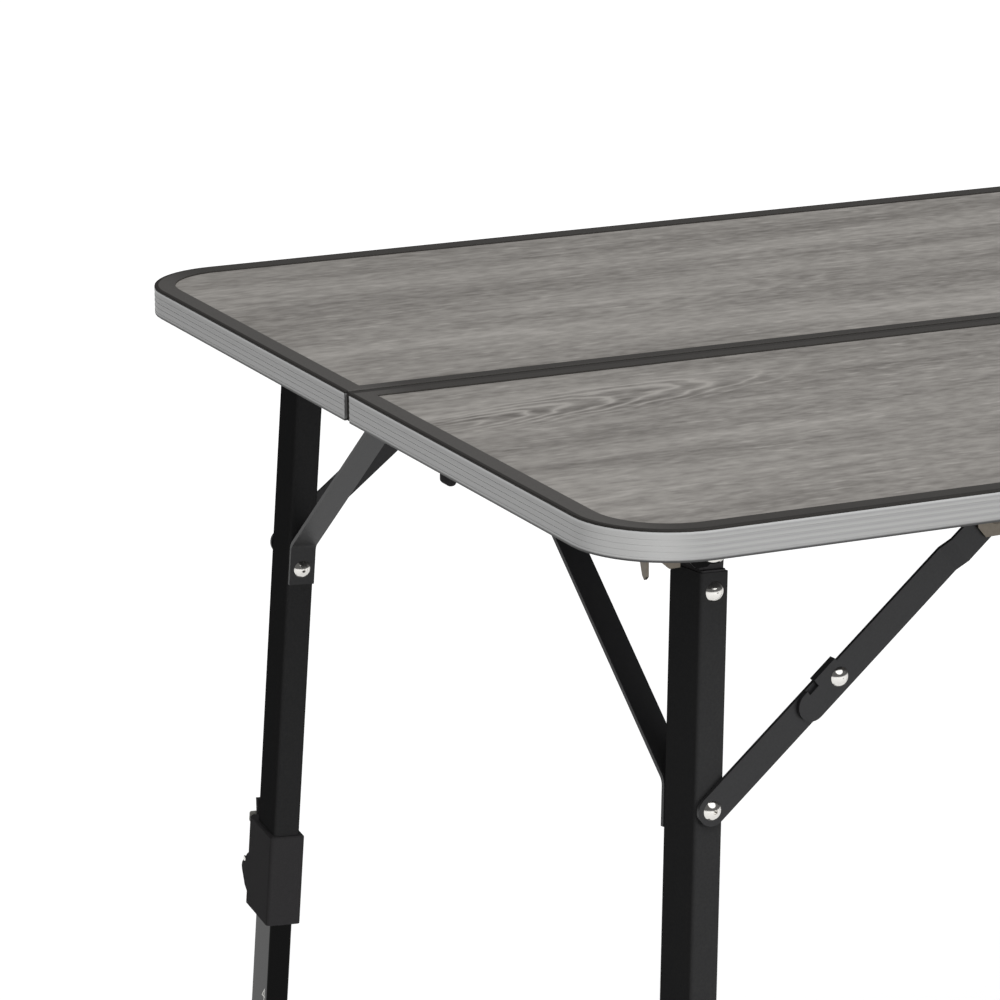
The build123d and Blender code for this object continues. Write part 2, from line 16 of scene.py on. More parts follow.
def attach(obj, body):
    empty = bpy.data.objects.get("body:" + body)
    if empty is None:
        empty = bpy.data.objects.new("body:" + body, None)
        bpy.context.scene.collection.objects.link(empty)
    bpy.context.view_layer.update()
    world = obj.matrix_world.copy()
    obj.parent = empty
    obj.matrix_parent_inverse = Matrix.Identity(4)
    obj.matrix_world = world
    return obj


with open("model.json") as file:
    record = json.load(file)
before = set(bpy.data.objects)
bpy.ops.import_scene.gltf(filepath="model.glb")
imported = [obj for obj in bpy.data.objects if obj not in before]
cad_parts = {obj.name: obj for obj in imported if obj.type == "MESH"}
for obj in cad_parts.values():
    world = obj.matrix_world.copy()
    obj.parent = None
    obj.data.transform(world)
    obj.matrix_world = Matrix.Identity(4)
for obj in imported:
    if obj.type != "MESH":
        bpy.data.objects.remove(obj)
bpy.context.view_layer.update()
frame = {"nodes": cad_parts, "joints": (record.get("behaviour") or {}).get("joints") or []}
joints = {joint["name"]: joint for joint in frame["joints"]}
corners = ("front_left", "front_right", "rear_left", "rear_right")
MM = 0.001
table_up = Vector((0, 0, 1))

# %% [markdown]
# Colours are picked as sRGB hex values, but shaders work in linear light, so one
# function turns one into the other. A second one adds a node with its settings and links:
# an input may be a plain value, another node's output, or a node whose first output is meant.

# %% Colour and node helpers
def colour(code):
    """Linear colour with full alpha from a hex code such as 8b8680."""
    parts = [int(code[place:place + 2], 16) / 255 for place in (0, 2, 4)]
    linear = [part / 12.92 if part <= 0.04045 else ((part + 0.055) / 1.055) ** 2.4 for part in parts]
    return (*linear, 1.0)


def add_node(tree, kind, inputs=None, **settings):
    """Add a shader node, give it its settings and fill or link its inputs."""
    made = tree.nodes.new("ShaderNode" + kind)
    for name, value in settings.items():
        setattr(made, name, value)
    for socket, source in (inputs or {}).items():
        if isinstance(source, bpy.types.Node):
            source = source.outputs[0]
        if isinstance(source, bpy.types.NodeSocket):
            tree.links.new(source, made.inputs[socket])
        else:
            made.inputs[socket].default_value = source
    return made


def new_finish(name, metallic, roughness, specular):
    """A material with its Principled shader and the Object coordinates that patterns read."""
    material = bpy.data.materials.new(name)
    material.use_nodes = True
    tree = material.node_tree
    shader = tree.nodes["Principled BSDF"]
    shader.inputs["Metallic"].default_value = metallic
    shader.inputs["Roughness"].default_value = roughness
    shader.inputs["Specular IOR Level"].default_value = specular
    place = add_node(tree, "TexCoord").outputs["Object"]
    return material, tree, shader, place


def coat(tree, shader, shade, relief, depth_mm):
    """Give the shader its painted shade and a relief of a real depth."""
    bump = add_node(tree, "Bump", {"Height": relief, "Distance": depth_mm * MM})
    tree.links.new(shade.outputs[0], shader.inputs["Base Color"])
    tree.links.new(bump.outputs[0], shader.inputs["Normal"])


print("helpers ready")

# %% [markdown]
# The table top is a laminate printed like limed grey oak, with a satin melamine face. A scan of
# oak could serve as an image, but noise needs no file and stays sharp up close. The grain runs
# along the top, so every layer is a noise that is stretched along X: patches, wide soft bands,
# streaks, short fibres and pale flecks, and two layers that bend the growth rings. A Mapping
# node of the texture kind takes the real length and width of a grain as its scale.

# %% Grain layers of the laminate
laminate, tree, shader, place = new_finish("Grey oak laminate", metallic=0.0, roughness=0.58, specular=0.25)
grain_slant = radians(1.2)
# Length and width in millimetres, and the detail of the noise
grain_sizes = {
    "drift": (420, 150, 1.0),
    "ripple": (60, 22, 2.0),
    "patches": (330, 80, 2.0),
    "bands": (520, 46, 2.0),
    "streaks": (110, 10, 3.0),
    "fibres": (13, 5, 3.0),
    "flecks": (24, 5, 2.0),
}
grain = {}
for layer, (length, width, detail) in grain_sizes.items():
    stretched = add_node(
        tree,
        "Mapping",
        {"Vector": place, "Rotation": (0, 0, grain_slant), "Scale": (length * MM, width * MM, 1.0)},
        vector_type="TEXTURE",
    )
    grain[layer] = add_node(tree, "TexNoise", {"Vector": stretched, "Scale": 1.0, "Detail": detail})
print("laminate has", len(grain), "grain layers")

# %% [markdown]
# Flat-sawn oak shows its growth rings as nested flames where the saw passed near the heart.
# A ring is a circle about the heart of the trunk, and the heart lies deeper and deeper under
# the board along its length. So the ring number at a point follows from two distances, the
# one across the board and the one down to the heart, and flames appear by themselves. The
# print repeats across the top, one heart beside the next.

# %% Growth rings
heart_spacing = 215 * MM
heart_offset = 14 * MM
heart_slope = 0.19
heart_depth = 92 * MM
heart_dive = 0.155
drift_reach = 30 * MM
ripple_reach = 12 * MM
ring_width = 5.8 * MM
lime_sharpness = 2.6
along, across, height = add_node(tree, "SeparateXYZ", {"Vector": place}).outputs
sloped = add_node(tree, "Math", {0: along, 1: -heart_slope, 2: across}, operation="MULTIPLY_ADD")
drifted = add_node(tree, "Math", {0: grain["drift"], 1: drift_reach, 2: sloped}, operation="MULTIPLY_ADD")
centred = add_node(tree, "Math", {0: drifted, 1: heart_offset}, operation="SUBTRACT")
from_heart = add_node(tree, "Math", {0: centred, 1: heart_spacing / 2}, operation="PINGPONG")
dive = add_node(tree, "Math", {0: along, 1: heart_dive, 2: heart_depth}, operation="MULTIPLY_ADD")
across_square = add_node(tree, "Math", {0: from_heart, 1: 2.0}, operation="POWER")
square = add_node(tree, "Math", {0: dive, 1: dive, 2: across_square}, operation="MULTIPLY_ADD")
radius = add_node(tree, "Math", {0: square}, operation="SQRT")
rippled = add_node(tree, "Math", {0: grain["ripple"], 1: ripple_reach, 2: radius}, operation="MULTIPLY_ADD")
rings = add_node(tree, "Math", {0: rippled, 1: ring_width}, operation="DIVIDE")
ring_part = add_node(tree, "Math", {0: rings}, operation="FRACT")
ring_middle = add_node(tree, "Math", {0: ring_part, 1: 2.0, 2: -1.0}, operation="MULTIPLY_ADD")
ring_edge = add_node(tree, "Math", {0: ring_middle}, operation="ABSOLUTE")
limed_line = add_node(tree, "Math", {0: ring_edge, 1: lime_sharpness}, operation="POWER")
print("rings are", round(ring_width / MM, 1), "mm wide")

# %% [markdown]
# The lime in the pores shows in some flames and is rubbed off in others. A strong flame lies
# near the seam, and patches of noise let weaker ones through. Both fade with the distance from
# the heart, because the rings lie close and straight there.

# %% Flames
flame_core = 14 * MM
flame_reach = 38 * MM
strong_place = (-0.45, -0.088, 0.699)
strong_size = (0.17, 0.075, 1.0)
strong_gain = 2.0
near_heart = add_node(
    tree,
    "MapRange",
    {"Value": from_heart, "From Min": flame_core, "From Max": flame_reach, "To Min": 1.0, "To Max": 0.0},
)
strong_flame = add_node(
    tree,
    "Mapping",
    {"Vector": place, "Location": strong_place, "Scale": strong_size},
    vector_type="TEXTURE",
)
strong = add_node(tree, "TexGradient", {"Vector": strong_flame}, gradient_type="SPHERICAL")
weak = add_node(
    tree,
    "MapRange",
    {"Value": grain["patches"], "From Min": 0.45, "From Max": 0.75, "To Min": 0.05, "To Max": 0.40},
)
strong_share = add_node(tree, "Math", {0: strong.outputs["Fac"], 1: strong_gain}, operation="MULTIPLY")
flame_share = add_node(tree, "Math", {0: strong_share, 1: weak}, operation="MAXIMUM")
flame = add_node(tree, "Math", {0: flame_share, 1: near_heart}, operation="MULTIPLY", use_clamp=True)
limed = add_node(tree, "Math", {0: limed_line, 1: flame}, operation="MULTIPLY")
print("strong flame at", strong_place[:2])

# %% [markdown]
# All layers add up to one tone between a dark and a pale grey. The lime lightens a flame's
# lines, and the wood between them is a bit darker than elsewhere. Under the board there is
# only a plain dark backing foil, so the height picks between the two.

# %% Laminate shade
# A noise is about one half on average, so the sum starts below zero
tone = -0.72
for layer, share in (("bands", 1.15), ("streaks", 0.50), ("fibres", 0.95)):
    tone = add_node(tree, "Math", {0: grain[layer], 1: share, 2: tone}, operation="MULTIPLY_ADD")
flecks = add_node(
    tree,
    "MapRange",
    {"Value": grain["flecks"], "From Min": 0.60, "From Max": 0.78, "To Min": 0.0, "To Max": 0.45},
)
tone = add_node(tree, "Math", {0: tone, 1: flecks}, operation="ADD")
for part, share in ((limed, 0.85), (flame, -0.20)):
    tone = add_node(tree, "Math", {0: part, 1: share, 2: tone}, operation="MULTIPLY_ADD")
tone.use_clamp = True
printed = add_node(
    tree,
    "MixRGB",
    {"Fac": tone, "Color1": colour("64605c"), "Color2": colour("b1ada8")},
)
backing_top = 690 * MM
upper_side = add_node(
    tree,
    "MapRange",
    {"Value": height, "From Min": backing_top, "From Max": backing_top + 1 * MM},
)
laminate_shade = add_node(
    tree,
    "MixRGB",
    {"Fac": upper_side, "Color1": colour("3a3a3b"), "Color2": printed},
)
coat(tree, shader, laminate_shade, grain["fibres"], depth_mm=0.04)
print("made", laminate.name)

# %% [markdown]
# The edge profile is extruded aluminium, natural anodised. Its oxide skin is milky, hence not a
# full metal. The die leaves fine lines at constant height. A painted highlight brightens its top
# corner and painted shade darkens its lower bead. Along the sides the ridges between the grooves
# carry stripes of painted shade, and the four bends a painted highlight. Height and the distance
# from the table's middle place all of that, so it follows the edge round without a map.

# %% Die lines and painted groove shade of the aluminium edge
aluminium, tree, shader, place = new_finish(
    "Natural anodised aluminium",
    metallic=0.7,
    roughness=0.40,
    specular=0.5,
)
edge_bottom = 680 * MM
groove_pitch = 3.7 * MM
# The Wave texture turns by this angle over one unit at a scale of one
wave_turn = 20
groove_shade_start = 380 * MM
groove_shade_full = 398 * MM
groove_shade_share = -0.7
die_line_size = (900 * MM, 900 * MM, 0.9 * MM)
edge_axes = add_node(tree, "SeparateXYZ", {"Vector": place}).outputs
ridges = add_node(
    tree,
    "TexWave",
    {
        "Vector": place,
        "Scale": tau / (wave_turn * groove_pitch),
        "Phase Offset": -tau * edge_bottom / groove_pitch,
    },
    wave_type="BANDS",
    bands_direction="Z",
)
drawn = add_node(
    tree,
    "Mapping",
    {"Vector": place, "Scale": die_line_size},
    vector_type="TEXTURE",
)
die_lines = add_node(tree, "TexNoise", {"Vector": drawn, "Scale": 1.0, "Detail": 2.0})
to_side = add_node(tree, "Math", {0: edge_axes["Y"]}, operation="ABSOLUTE")
# Painted shade: along the long sides the ridges between the grooves are darkened in stripes
groove_shade = add_node(
    tree,
    "MapRange",
    {"Value": to_side, "From Min": groove_shade_start, "From Max": groove_shade_full, "To Min": 0.0, "To Max": groove_shade_share},
)
from_ridge = add_node(tree, "Math", {0: ridges.outputs["Fac"], 1: 0.5}, operation="SUBTRACT")
striped = add_node(
    tree,
    "Math",
    {0: from_ridge, 1: groove_shade, 2: die_lines},
    operation="MULTIPLY_ADD",
    use_clamp=True,
)
shade = add_node(tree, "MixRGB", {"Fac": striped, "Color1": colour("999999"), "Color2": colour("adadac")})
print("edge has a groove every", round(groove_pitch / MM, 1), "mm")

# %% Painted highlights and shade at the bends, bead and top corner of the aluminium edge
bend_fade = 30 * MM
bead_shade_top = 680.9 * MM
highlight_start = 696.6 * MM
highlight_share = 0.6
edge_fade = 1 * MM
bend = []
for axis, straight_end in (("X", 540 * MM), ("Y", 340 * MM)):
    reach = add_node(tree, "Math", {0: edge_axes[axis]}, operation="ABSOLUTE")
    bend.append(add_node(
        tree,
        "MapRange",
        {"Value": reach, "From Min": straight_end, "From Max": straight_end + bend_fade},
        interpolation_type="SMOOTHSTEP",
    ))
# Painted highlight: the four bends are brightened
bend_highlight = add_node(tree, "Math", {0: bend[0], 1: bend[1]}, operation="MULTIPLY")
# Painted shade along the lower bead of the edge
bead_shade = add_node(
    tree,
    "MapRange",
    {
        "Value": edge_axes["Z"],
        "From Min": bead_shade_top,
        "From Max": bead_shade_top + edge_fade,
        "To Min": 1.0,
        "To Max": 0.0,
    },
)
# Painted highlight along the top corner of the edge
top_highlight = add_node(
    tree,
    "MapRange",
    {
        "Value": edge_axes["Z"],
        "From Min": highlight_start,
        "From Max": highlight_start + edge_fade,
        "To Min": 0.0,
        "To Max": highlight_share,
    },
)
for part, code in ((bend_highlight, "b9b9b8"), (bead_shade, "4a4a4a"), (top_highlight, "c4c5c5")):
    shade = add_node(tree, "MixRGB", {"Fac": part, "Color1": shade, "Color2": colour(code)})
coat(tree, shader, shade, die_lines, depth_mm=0.02)
print("made", aluminium.name)

# %% [markdown]
# The dark rim and the strip in the seam are plastic mouldings with a fine grain, charcoal with
# a warm cast. Painted light makes the rim across the two ends paler than along the long sides.
# Painted shade darkens the flanks below the flat top and the outermost millimetres of the top.
# These follow the rounded outline: beyond the centres of the four bends, the outline lies one
# bend radius away, on the straight sides too.

# %% Dark rim and seam strip
flank_top = 699.1 * MM
flank_fade = 0.3 * MM
bend_radius = 63 * MM
# The third value lies above the table, so that height never counts
bend_centre = (0.537, 0.337, 1.0)
shaded_edge_width = 3.2 * MM
shaded_edge_fade = 0.5 * MM
end_light_start = 548 * MM
end_light_full = 590 * MM
moulded_grain = 1.6 * MM
mouldings = []
for name, side_code, lit_end_code in (
    ("Charcoal moulded rim", "494745", "5e5c5a"),
    ("Charcoal seam strip", "403e3c", "403e3c"),
):
    material, tree, shader, place = new_finish(name, metallic=0.0, roughness=0.55, specular=0.12)
    axes = add_node(tree, "SeparateXYZ", {"Vector": place}).outputs
    from_middle = add_node(tree, "Math", {0: axes["X"]}, operation="ABSOLUTE")
    # Painted light: the rim across the two ends is painted paler than along the long sides
    painted_end_light = add_node(
        tree,
        "MapRange",
        {"Value": from_middle, "From Min": end_light_start, "From Max": end_light_full},
        interpolation_type="SMOOTHSTEP",
    )
    above_flank = add_node(
        tree,
        "MapRange",
        {"Value": axes["Z"], "From Min": flank_top, "From Max": flank_top + flank_fade},
    )
    one_quarter = add_node(tree, "VectorMath", {0: place}, operation="ABSOLUTE")
    past_centre = add_node(tree, "VectorMath", {0: one_quarter, 1: bend_centre}, operation="SUBTRACT")
    outer_part = add_node(tree, "VectorMath", {0: past_centre, 1: (0, 0, 0)}, operation="MAXIMUM")
    from_bend = add_node(tree, "VectorMath", {0: outer_part}, operation="LENGTH")
    inside = add_node(
        tree,
        "MapRange",
        {
            "Value": from_bend.outputs["Value"],
            "From Min": bend_radius - shaded_edge_width,
            "From Max": bend_radius - shaded_edge_width + shaded_edge_fade,
            "To Min": 1.0,
            "To Max": 0.0,
        },
    )
    # Painted shade: the flanks below the top and the outermost millimetres of the top are darkened
    unshaded_top = add_node(tree, "Math", {0: above_flank, 1: inside}, operation="MULTIPLY")
    moulded = add_node(tree, "TexNoise", {"Vector": place, "Scale": 1 / moulded_grain, "Detail": 2.0})
    shade = add_node(
        tree,
        "MixRGB",
        {"Fac": painted_end_light, "Color1": colour(side_code), "Color2": colour(lit_end_code)},
    )
    shade = add_node(tree, "MixRGB", {"Fac": unshaded_top, "Color1": colour("343230"), "Color2": shade})
    grained = add_node(
        tree,
        "MixRGB",
        {"Fac": moulded, "Color1": colour("e0e0e0"), "Color2": colour("ffffff")},
    )
    shade = add_node(
        tree,
        "MixRGB",
        {"Fac": 1.0, "Color1": shade, "Color2": grained},
        blend_type="MULTIPLY",
    )
    coat(tree, shader, shade, moulded, depth_mm=0.03)
    mouldings.append(material)
rim_finish, seam_strip = mouldings
print("made", rim_finish.name, "and", seam_strip.name)

# %% [markdown]
# The other parts have one even finish with a fine grain: a powder's peel, a moulded texture or
# the crystals of a plating. One noise sets both shade and height, so a single function makes
# them all. The real grains are finer than a pixel of the picture, so they are drawn coarser
# than they are, just enough to show.

# %% Finish with one fine grain
def grained_finish(name, dark, light, roughness, specular, grain_mm, depth_mm, metallic=0.0):
    """A finish whose shade and height vary with one fine grain."""
    material, tree, shader, place = new_finish(name, metallic, roughness, specular)
    grit = add_node(tree, "TexNoise", {"Vector": place, "Scale": 1 / (grain_mm * MM), "Detail": 2.0})
    shade = add_node(tree, "MixRGB", {"Fac": grit, "Color1": colour(dark), "Color2": colour(light)})
    coat(tree, shader, shade, grit, depth_mm)
    return material


print("grained finish ready")

# %% [markdown]
# Tubes and bars are powder coated: the sprayed powder melts into a skin with a faint orange
# peel, fully matt on the tubes and satin on the bars. The inner legs slide, which would scrape
# a coat off, so they are black anodised, smooth and glossy.

# %% Powder coats and anodised inner legs
black_tube = grained_finish(
    "Matt black powder coat", "303031", "393939",
    roughness=0.70, specular=0.0, grain_mm=1.6, depth_mm=0.03,
)
black_bar = grained_finish(
    "Satin black powder coat", "252526", "2e2e2f",
    roughness=0.42, specular=0.25, grain_mm=1.6, depth_mm=0.03,
)
inner_leg = grained_finish(
    "Black anodised aluminium", "030303", "050505",
    roughness=0.15, specular=0.09, grain_mm=2.2, depth_mm=0.005,
)
print("made", black_tube.name, "and", black_bar.name, "and", inner_leg.name)

# %% [markdown]
# Leg heads, collars, levers and hooks are moulded nylon, whose grained skin hides scratches and
# looks dull. The feet are black rubber, and the levers' finger pads are a paler one.

# %% Nylon and rubber
black_nylon = grained_finish(
    "Grained black nylon", "3a393a", "434243",
    roughness=0.62, specular=0.015, grain_mm=1.1, depth_mm=0.05,
)
rubber = grained_finish(
    "Black rubber", "161616", "1e1e1e",
    roughness=0.75, specular=0.1, grain_mm=1.5, depth_mm=0.05,
)
pale_rubber = grained_finish(
    "Pale grey rubber", "8e8d87", "9a9993",
    roughness=0.6, specular=0.2, grain_mm=1.2, depth_mm=0.03,
)
print("made", black_nylon.name, "and", rubber.name, "and", pale_rubber.name)

# %% [markdown]
# Rivets and screws are nickel plated and mirror the lamps sharply. The brackets are zinc
# plated, which is darker and warmer, with a broad sheen. The height marks on the lower legs
# are a metallic print.

# %% Plated metals and print
nickel = grained_finish(
    "Nickel plated rivet", "d2d0cc", "dedcd8",
    roughness=0.13, specular=0.5, grain_mm=2.0, depth_mm=0.002, metallic=1.0,
)
zinc = grained_finish(
    "Zinc plated steel", "625c54", "756f66",
    roughness=0.40, specular=0.5, grain_mm=3.0, depth_mm=0.01, metallic=1.0,
)
mark_print = grained_finish(
    "Silver grey print", "a8a7a3", "b4b3af",
    roughness=0.35, specular=0.5, grain_mm=1.0, depth_mm=0.005, metallic=1.0,
)
print("made", nickel.name, "and", zinc.name, "and", mark_print.name)

# %% [markdown]
# The outer ear of each pivot bracket, the one toward the long side of the table, is dipped in
# black up to the bend. A bracket is one solid, so its finish is a copy of the zinc one that
# turns black by place: beyond the hinge pin, along the slant at which the legs toe in.

# %% Black ear of the pivot brackets
pin_reach = (500 * MM, 309 * MM)
toe_slope = 0.066
ear_start = 14.5 * MM
ear_half_width = 19.5 * MM
ear_fade = 0.5 * MM
eared_zinc = zinc.copy()
eared_zinc.name = "Zinc plated steel with a black ear"
tree = eared_zinc.node_tree
shader = tree.nodes["Principled BSDF"]
plated = shader.inputs["Base Color"].links[0].from_node
axes = add_node(tree, "SeparateXYZ", {"Vector": add_node(tree, "TexCoord").outputs["Object"]}).outputs
from_pin = []
for axis, reach in zip("XY", pin_reach):
    from_middle = add_node(tree, "Math", {0: axes[axis]}, operation="ABSOLUTE")
    from_pin.append(add_node(tree, "Math", {0: from_middle, 1: reach}, operation="SUBTRACT"))
outside = add_node(
    tree,
    "Math",
    {0: from_pin[0], 1: -toe_slope, 2: from_pin[1]},
    operation="MULTIPLY_ADD",
)
beyond = add_node(
    tree,
    "MapRange",
    {"Value": outside, "From Min": ear_start, "From Max": ear_start + ear_fade},
)
beside = add_node(
    tree,
    "MapRange",
    {
        "Value": from_pin[0],
        "From Min": ear_half_width,
        "From Max": ear_half_width + ear_fade,
        "To Min": 1.0,
        "To Max": 0.0,
    },
)
dipped = add_node(tree, "Math", {0: beyond, 1: beside}, operation="MULTIPLY")
shade = add_node(tree, "MixRGB", {"Fac": dipped, "Color1": plated, "Color2": colour("141414")})
tree.links.new(shade.outputs[0], shader.inputs["Base Color"])
print("made", eared_zinc.name)

# %% [markdown]
# Every solid's name ends in what it is, so one list of endings gives all of them their finish.
# Where two endings fit, the longer one is meant.

# %% Give every solid its finish
finishes = {
    "board": laminate,
    "edge": aluminium,
    "rim": rim_finish,
    "hinge_strip": seam_strip,
    "end_hooks": black_nylon,
    "leg_tube": black_tube,
    "leg_head": black_nylon,
    "leg_rivets": nickel,
    "side_brace": black_bar,
    "lower_stay": black_bar,
    "upper_stay": black_bar,
    "stay_rivets": nickel,
    "inner_tube": inner_leg,
    "foot": rubber,
    "clamp_collar": black_nylon,
    "clamp_lever": black_nylon,
    "pivot_bracket": eared_zinc,
    "stay_bracket": zinc,
}
for name, solid in frame["nodes"].items():
    ending = max((word for word in finishes if name.endswith(word)), key=len)
    solid.data.materials.clear()
    solid.data.materials.append(finishes[ending])
print("finished", len(frame["nodes"]), "solids")

# %% [markdown]
# Small fittings sit on legs that lean and toe in, so each needs its leg's own directions.
# The joints already know them: the slide runs up the leg, the lever's pin lies across it,
# and the fold turns about the hinge line of the bracket.

# %% Directions of a leg and of its bracket
def leg_axes(corner):
    """Pivot of a leg, and directions toward the table's end, its long side and up the leg."""
    pivot = Vector(joints[corner + "_leg_fold"]["pos_m"])
    up = Vector(joints[corner + "_height_slide"]["axis"]).normalized()
    endward = Vector(joints[corner + "_clamp_lever_turn"]["axis"]).normalized()
    if endward.x * pivot.x < 0:
        endward.negate()
    outward = up.cross(endward)
    if outward.y * pivot.y < 0:
        outward.negate()
    return pivot, endward, outward, up


def bracket_axes(corner):
    """Pivot of a bracket, and level directions toward the table's end and toward the seam."""
    pivot = Vector(joints[corner + "_leg_fold"]["pos_m"])
    seamward = Vector(joints[corner + "_leg_fold"]["axis"]).normalized()
    if seamward.y * pivot.y > 0:
        seamward.negate()
    endward = seamward.cross(table_up)
    if endward.x * pivot.x < 0:
        endward.negate()
    return pivot, endward, seamward


def half_of(corner):
    """Name of the half of the top that a corner belongs to."""
    return corner.split("_")[0] + "_half"


def turned_to(place, right, up, facing):
    """Matrix that puts a shape made in X, Y and Z at a place, in three given directions."""
    return Matrix.Translation(place) @ Matrix((right, up, facing)).transposed().to_4x4()


print("leg directions ready")

# %% [markdown]
# The fittings share a few shapes. A plate is one face that is extruded, and a block is a cube
# with its edges rounded by a bevel. A modifier could round them too, but the bevel operator
# takes just the edges it is given.

# %% Plates and rounded blocks
def picked(items, kind):
    """Those of an operator's results that are of one kind, such as vertices."""
    return [item for item in items if isinstance(item, kind)]


def rounded_edges(shape, edges, radius_mm, steps):
    """Round edges of a bmesh with a bevel, and give the new vertices."""
    return bmesh.ops.bevel(
        shape,
        geom=edges,
        offset=radius_mm * MM,
        offset_type="OFFSET",
        segments=steps,
        profile=0.5,
        affect="EDGES",
        material=-1,
    )["verts"]


def rounded_block(shape, size_mm, radius_mm, steps):
    """Add a block with rounded edges about the origin, and give its vertices."""
    block = bmesh.ops.create_cube(shape, size=1.0)["verts"]
    bmesh.ops.scale(shape, verts=block, vec=[side * MM for side in size_mm])
    edges = list({edge for vert in block for edge in vert.link_edges})
    rounded = rounded_edges(shape, edges, radius_mm, steps)
    return list({vert for vert in block + rounded if vert.is_valid})


def drawn_plate(shape, outline, thickness):
    """Make a face from points, extrude it along a vector, and give the far vertices."""
    plate = shape.faces.new([shape.verts.new(point) for point in outline])
    far = picked(bmesh.ops.extrude_face_region(shape, geom=[plate])["geom"], bmesh.types.BMVert)
    bmesh.ops.translate(shape, verts=far, vec=thickness)
    return far


print("plates and blocks ready")

# %% [markdown]
# Screw heads and washers are round and domed. Such a shape could be spun from a profile, but a
# screw starts from a cross and only its border is round, so both are drawn out ring by ring
# from an open border.

# %% Rings
def pull_to_ring(verts, radius_mm, level_mm):
    """Move vertices onto a level circle about Z."""
    for vert in verts:
        flat = Vector((vert.co.x, vert.co.y, 0)).normalized() * radius_mm * MM
        vert.co = (flat.x, flat.y, level_mm * MM)


def draw_rings(shape, border, rings_mm):
    """Extrude an open border from ring to ring, and give the last border."""
    for radius_mm, level_mm in rings_mm:
        drawn = bmesh.ops.extrude_edge_only(shape, edges=border)["geom"]
        border = picked(drawn, bmesh.types.BMEdge)
        pull_to_ring(picked(drawn, bmesh.types.BMVert), radius_mm, level_mm)
    return border


print("rings ready")

# %% [markdown]
# A finished piece stays at the origin, with its place in its mesh, as the solids do. It rides
# on the body that it is fixed to.

# %% Copies and finished pieces
def add_copy(shape, mesh, matrix):
    """Add a copy of a mesh to a bmesh, moved by a matrix."""
    start = len(shape.verts)
    shape.from_mesh(mesh)
    shape.verts.ensure_lookup_table()
    bmesh.ops.transform(shape, matrix=matrix, verts=shape.verts[start:])


def smooth_all(shape):
    """Shade every face of a bmesh smooth."""
    for face in shape.faces:
        face.smooth = True


def fit_piece(name, shape, finish, body):
    """Turn a finished bmesh into a piece of the object that moves with a body."""
    bmesh.ops.recalc_face_normals(shape, faces=shape.faces)
    mesh = bpy.data.meshes.new(name)
    shape.to_mesh(mesh)
    shape.free()
    mesh.materials.append(finish)
    piece = bpy.data.objects.new(name, mesh)
    bpy.context.scene.collection.objects.link(piece)
    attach(piece, body)
    return piece


print("ready to fit pieces")

# %% [markdown]
# Pan-head screws hold the brackets to the board. The head starts as a grid of nine faces:
# the middle five are a cross, which is pushed in, and the border is rounded to a circle and
# then drawn outward and down in rings to make the dome. It is made once and copied.

# %% One pan head
head_height = 1.9
grid_half = 2.0
flat_radius = 2.3
cross_band = 0.3
recess_depth = 1.1
dome_rings = ((2.9, 1.55), (3.4, 1.1), (3.6, 0.5), (3.6, 0.0))
smooth_area = 0.2 * MM * MM
shape = bmesh.new()
bmesh.ops.create_grid(shape, x_segments=3, y_segments=3, size=grid_half * MM)
bmesh.ops.translate(shape, verts=shape.verts, vec=(0, 0, head_height * MM))
border = [edge for edge in shape.edges if edge.is_boundary]
pull_to_ring({vert for edge in border for vert in edge.verts}, flat_radius, head_height)
cross = []
for face in shape.faces:
    middle = face.calc_center_median()
    if min(abs(middle.x), abs(middle.y)) < cross_band * MM:
        cross.append(face)
sunk = picked(bmesh.ops.extrude_face_region(shape, geom=cross)["geom"], bmesh.types.BMVert)
bmesh.ops.translate(shape, verts=sunk, vec=(0, 0, -recess_depth * MM))
bmesh.ops.delete(shape, geom=[face for face in cross if face.is_valid], context="FACES_ONLY")
draw_rings(shape, border, dome_rings)
for face in shape.faces:
    face.smooth = len(face.verts) == 4 and face.calc_area() > smooth_area
pan_head = bpy.data.meshes.new("pan_head")
shape.to_mesh(pan_head)
shape.free()
print("pan head has", len(pan_head.polygons), "faces")

# %% Bracket screws
strap_under = 15.5 * MM
# Places toward the table's end and toward the seam, in millimetres from the hinge pin
strap_screws = ((0, 42), (0, 96), (0, 150), (34, 9))
clevis_screws = ((-184, -47.5), (-198, -47.5))
for corner in corners:
    pivot, endward, seamward = bracket_axes(corner)
    shape = bmesh.new()
    for toward_end, toward_seam in strap_screws + clevis_screws:
        place = pivot + endward * toward_end * MM + seamward * toward_seam * MM + table_up * strap_under
        add_copy(shape, pan_head, turned_to(place, endward, endward.cross(table_up), -table_up))
    fit_piece(corner + "_bracket_screws", shape, nickel, half_of(corner))
bpy.data.meshes.remove(pan_head)
print("fitted", len(corners), "sets of bracket screws")

# %% [markdown]
# Each lower leg carries printed height marks, so that all four legs can be set alike: a plain
# number over a tick on the face toward the table's end. Text is made a mesh first and then
# placed, with its right-hand direction worked out so that no mirrored leg reads backwards.

# %% One digit
digit_size = 15 * MM


def digit_mesh(number):
    """Flat mesh of one digit, centred on the origin."""
    words = bpy.data.curves.new("height_digit", "FONT")
    words.body = str(number)
    words.size = digit_size
    words.align_x = "CENTER"
    words.align_y = "CENTER"
    holder = bpy.data.objects.new("height_digit", words)
    bpy.context.scene.collection.objects.link(holder)
    bpy.context.view_layer.update()
    ready = holder.evaluated_get(bpy.context.evaluated_depsgraph_get())
    mesh = bpy.data.meshes.new_from_object(ready)
    bpy.data.objects.remove(holder)
    return mesh


print("digits are set in a type size of", round(digit_size / MM), "mm")

# %% Height marks
mark_lift = 0.03 * MM
inner_face = 8.5 * MM
mark_inset = 9.5 * MM
tick_drop = 9.5 * MM
tick_size = (8 * MM, 1 * MM, 1)
